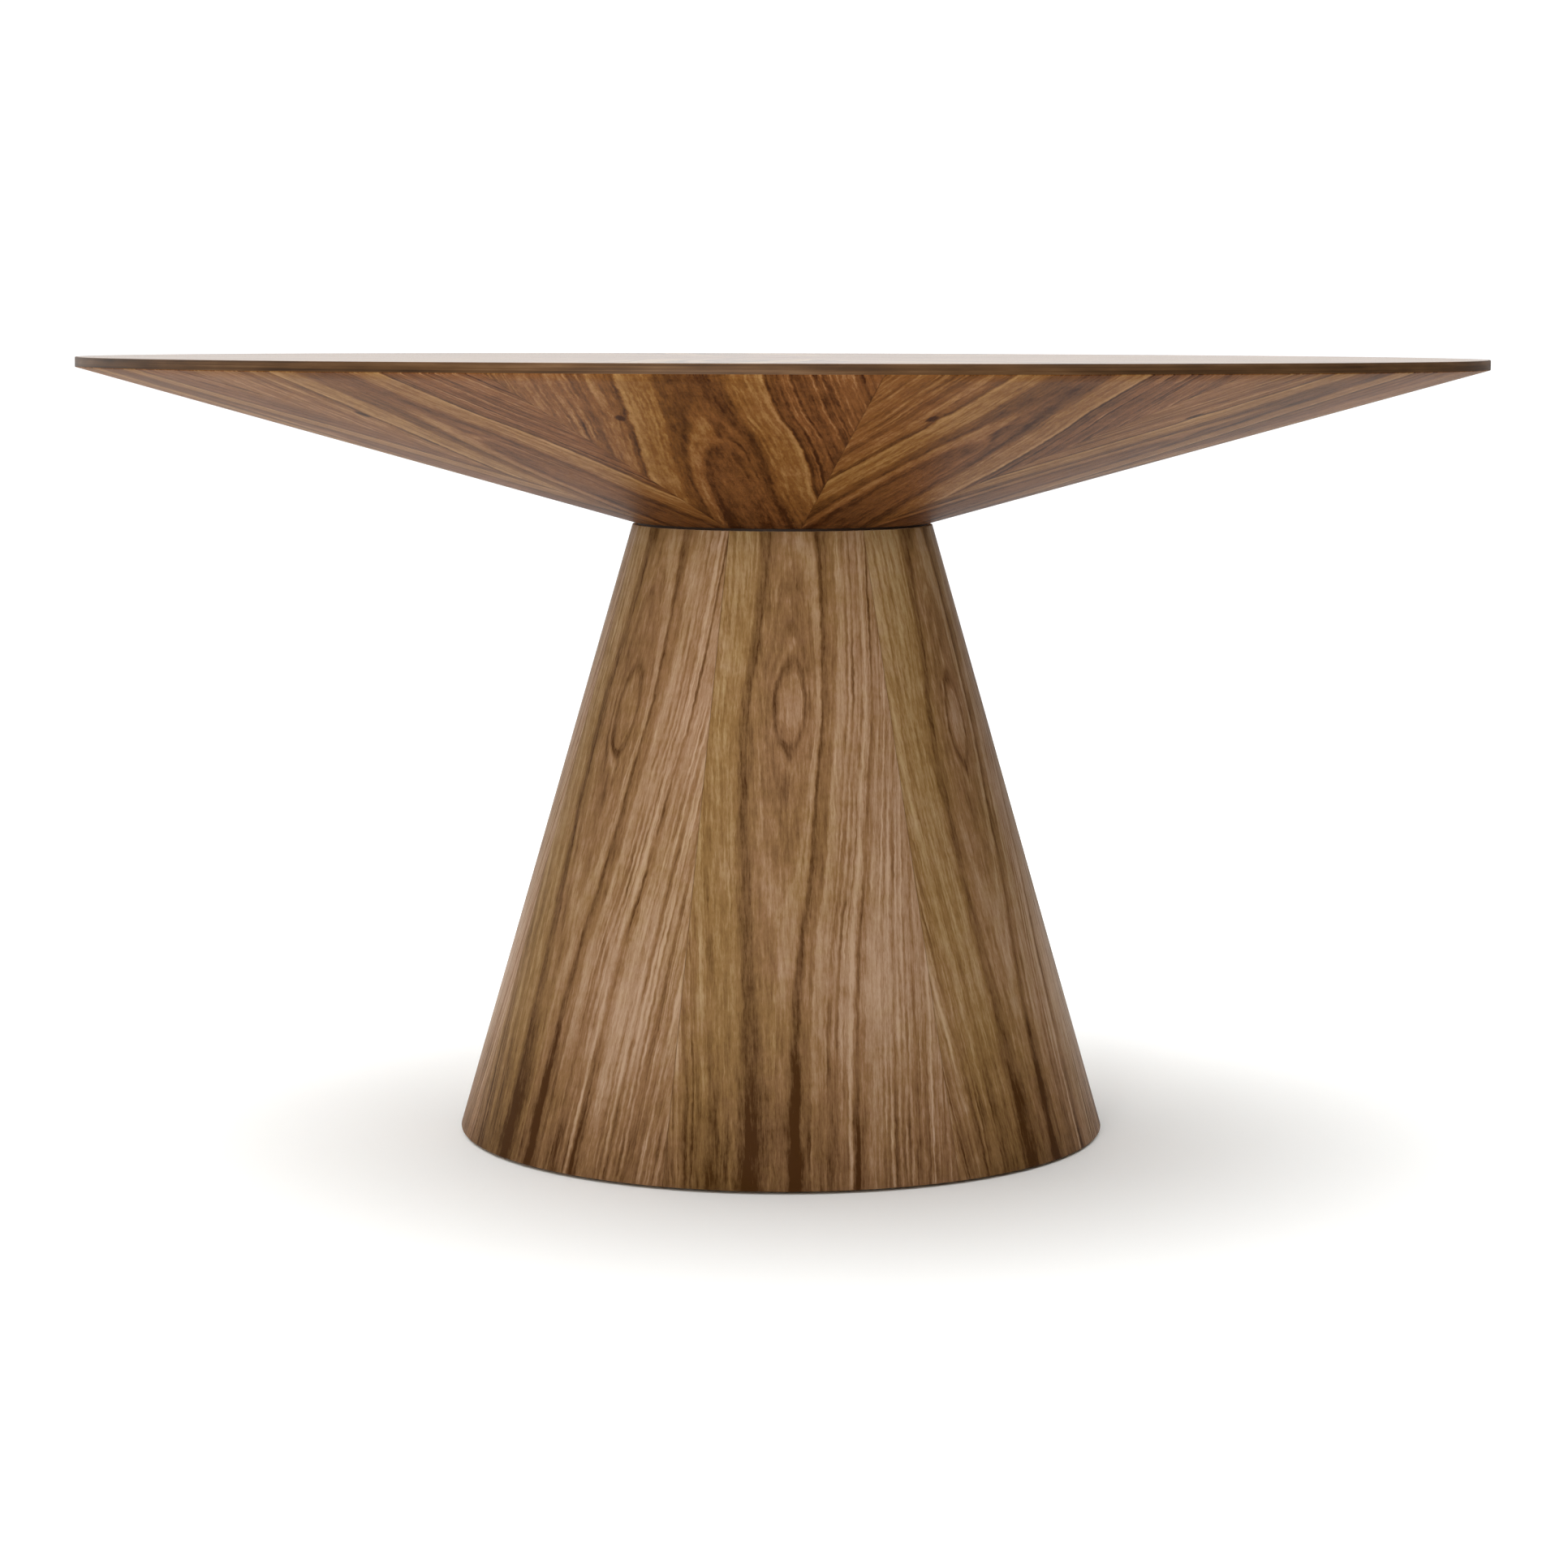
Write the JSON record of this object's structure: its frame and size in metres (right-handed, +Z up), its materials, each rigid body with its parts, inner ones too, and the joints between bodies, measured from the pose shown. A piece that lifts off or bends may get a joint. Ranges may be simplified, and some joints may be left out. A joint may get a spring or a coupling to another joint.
{
  "type": "pedestal dining table",
  "caption": "Round dining table: a thin-edged top over a shallow veneered cone, bolted on a hollow tapered pedestal that stands on levelling glides.",
  "frame": {"origin": "on the floor, under the middle of the round top", "axes": "+Z up, -Y towards the front that the picture shows, +X to that view's right"},
  "size_m": [1.3718, 1.372, 0.762],
  "materials": {
    "walnut_top": "gloss",
    "walnut_edge": "satin",
    "walnut_underside": "satin",
    "walnut_pedestal": "satin",
    "mdf": "matte",
    "bendy_plywood": "matte",
    "birch_plywood": "matte",
    "beech": "matte",
    "black_spacer": "matte",
    "zinc_steel": "satin",
    "ballast_steel": "matte",
    "black_nylon": "matte"
  },
  "bodies": {
    "table": {"top_face_veneer": "walnut_top", "edge_band": "walnut_edge", "top_panel": "mdf", "underside_veneer": "walnut_underside", "underside_skin_1": "bendy_plywood", "underside_skin_2": "bendy_plywood", "underside_skin_3": "bendy_plywood", "underside_skin_4": "bendy_plywood", "top_rib_1": "birch_plywood", "top_rib_2": "birch_plywood", "top_rib_3": "birch_plywood", "top_rib_4": "birch_plywood", "top_rib_5": "birch_plywood", "top_rib_6": "birch_plywood", "top_rib_7": "birch_plywood", "top_rib_8": "birch_plywood", "rib_dowels": "beech", "core_post": "birch_plywood", "hub_plate": "birch_plywood", "hub_screws": "zinc_steel", "hub_inserts": "zinc_steel", "neck_spacer": "black_spacer", "connector_bolts": "zinc_steel", "connector_washers": "zinc_steel", "pedestal_top_plate": "birch_plywood", "top_plate_screws": "zinc_steel", "pedestal_veneer": "walnut_pedestal", "pedestal_shell_right": "bendy_plywood", "pedestal_shell_left": "bendy_plywood", "pedestal_fin_1": "birch_plywood", "pedestal_fin_2": "birch_plywood", "pedestal_fin_3": "birch_plywood", "pedestal_fin_4": "birch_plywood", "pedestal_fin_5": "birch_plywood", "pedestal_fin_6": "birch_plywood", "middle_former": "birch_plywood", "base_ring": "birch_plywood", "base_screws": "zinc_steel", "ballast_plates": "ballast_steel", "ballast_screws": "zinc_steel", "glide_inserts": "zinc_steel"},
    "glide_1_pad": {"glide_1_pad": "black_nylon"},
    "glide_1_stem": {"glide_1_stem": "zinc_steel"},
    "glide_2_pad": {"glide_2_pad": "black_nylon"},
    "glide_2_stem": {"glide_2_stem": "zinc_steel"},
    "glide_3_pad": {"glide_3_pad": "black_nylon"},
    "glide_3_stem": {"glide_3_stem": "zinc_steel"},
    "glide_4_pad": {"glide_4_pad": "black_nylon"},
    "glide_4_stem": {"glide_4_stem": "zinc_steel"},
    "glide_5_pad": {"glide_5_pad": "black_nylon"},
    "glide_5_stem": {"glide_5_stem": "zinc_steel"},
    "glide_6_pad": {"glide_6_pad": "black_nylon"},
    "glide_6_stem": {"glide_6_stem": "zinc_steel"}
  },
  "joints": [
    {"name": "glide_1_height", "type": "slide", "parent": "table", "child": "glide_1_pad", "axis": [0, 0, -1], "range_m": [0, 0.01]},
    {"name": "glide_1_turn", "type": "hinge", "parent": "glide_1_pad", "child": "glide_1_stem", "pos_m": [0.23556, 0.136, 0], "axis": [0, 0, -1], "range_deg": [0, 2880]},
    {"name": "glide_2_height", "type": "slide", "parent": "table", "child": "glide_2_pad", "axis": [0, 0, -1], "range_m": [0, 0.01]},
    {"name": "glide_2_turn", "type": "hinge", "parent": "glide_2_pad", "child": "glide_2_stem", "pos_m": [0, 0.272, 0], "axis": [0, 0, -1], "range_deg": [0, 2880]},
    {"name": "glide_3_height", "type": "slide", "parent": "table", "child": "glide_3_pad", "axis": [0, 0, -1], "range_m": [0, 0.01]},
    {"name": "glide_3_turn", "type": "hinge", "parent": "glide_3_pad", "child": "glide_3_stem", "pos_m": [-0.23556, 0.136, 0], "axis": [0, 0, -1], "range_deg": [0, 2880]},
    {"name": "glide_4_height", "type": "slide", "parent": "table", "child": "glide_4_pad", "axis": [0, 0, -1], "range_m": [0, 0.01]},
    {"name": "glide_4_turn", "type": "hinge", "parent": "glide_4_pad", "child": "glide_4_stem", "pos_m": [-0.23556, -0.136, 0], "axis": [0, 0, -1], "range_deg": [0, 2880]},
    {"name": "glide_5_height", "type": "slide", "parent": "table", "child": "glide_5_pad", "axis": [0, 0, -1], "range_m": [0, 0.01]},
    {"name": "glide_5_turn", "type": "hinge", "parent": "glide_5_pad", "child": "glide_5_stem", "pos_m": [0, -0.272, 0], "axis": [0, 0, -1], "range_deg": [0, 2880]},
    {"name": "glide_6_height", "type": "slide", "parent": "table", "child": "glide_6_pad", "axis": [0, 0, -1], "range_m": [0, 0.01]},
    {"name": "glide_6_turn", "type": "hinge", "parent": "glide_6_pad", "child": "glide_6_stem", "pos_m": [0.23556, -0.136, 0], "axis": [0, 0, -1], "range_deg": [0, 2880]}
  ],
  "couplings": [
    {"joint": "glide_1_turn", "follows": "glide_1_height", "rad_per_m": 5026.5},
    {"joint": "glide_2_turn", "follows": "glide_2_height", "rad_per_m": 5026.5},
    {"joint": "glide_3_turn", "follows": "glide_3_height", "rad_per_m": 5026.5},
    {"joint": "glide_4_turn", "follows": "glide_4_height", "rad_per_m": 5026.5},
    {"joint": "glide_5_turn", "follows": "glide_5_height", "rad_per_m": 5026.5},
    {"joint": "glide_6_turn", "follows": "glide_6_height", "rad_per_m": 5026.5}
  ]
}
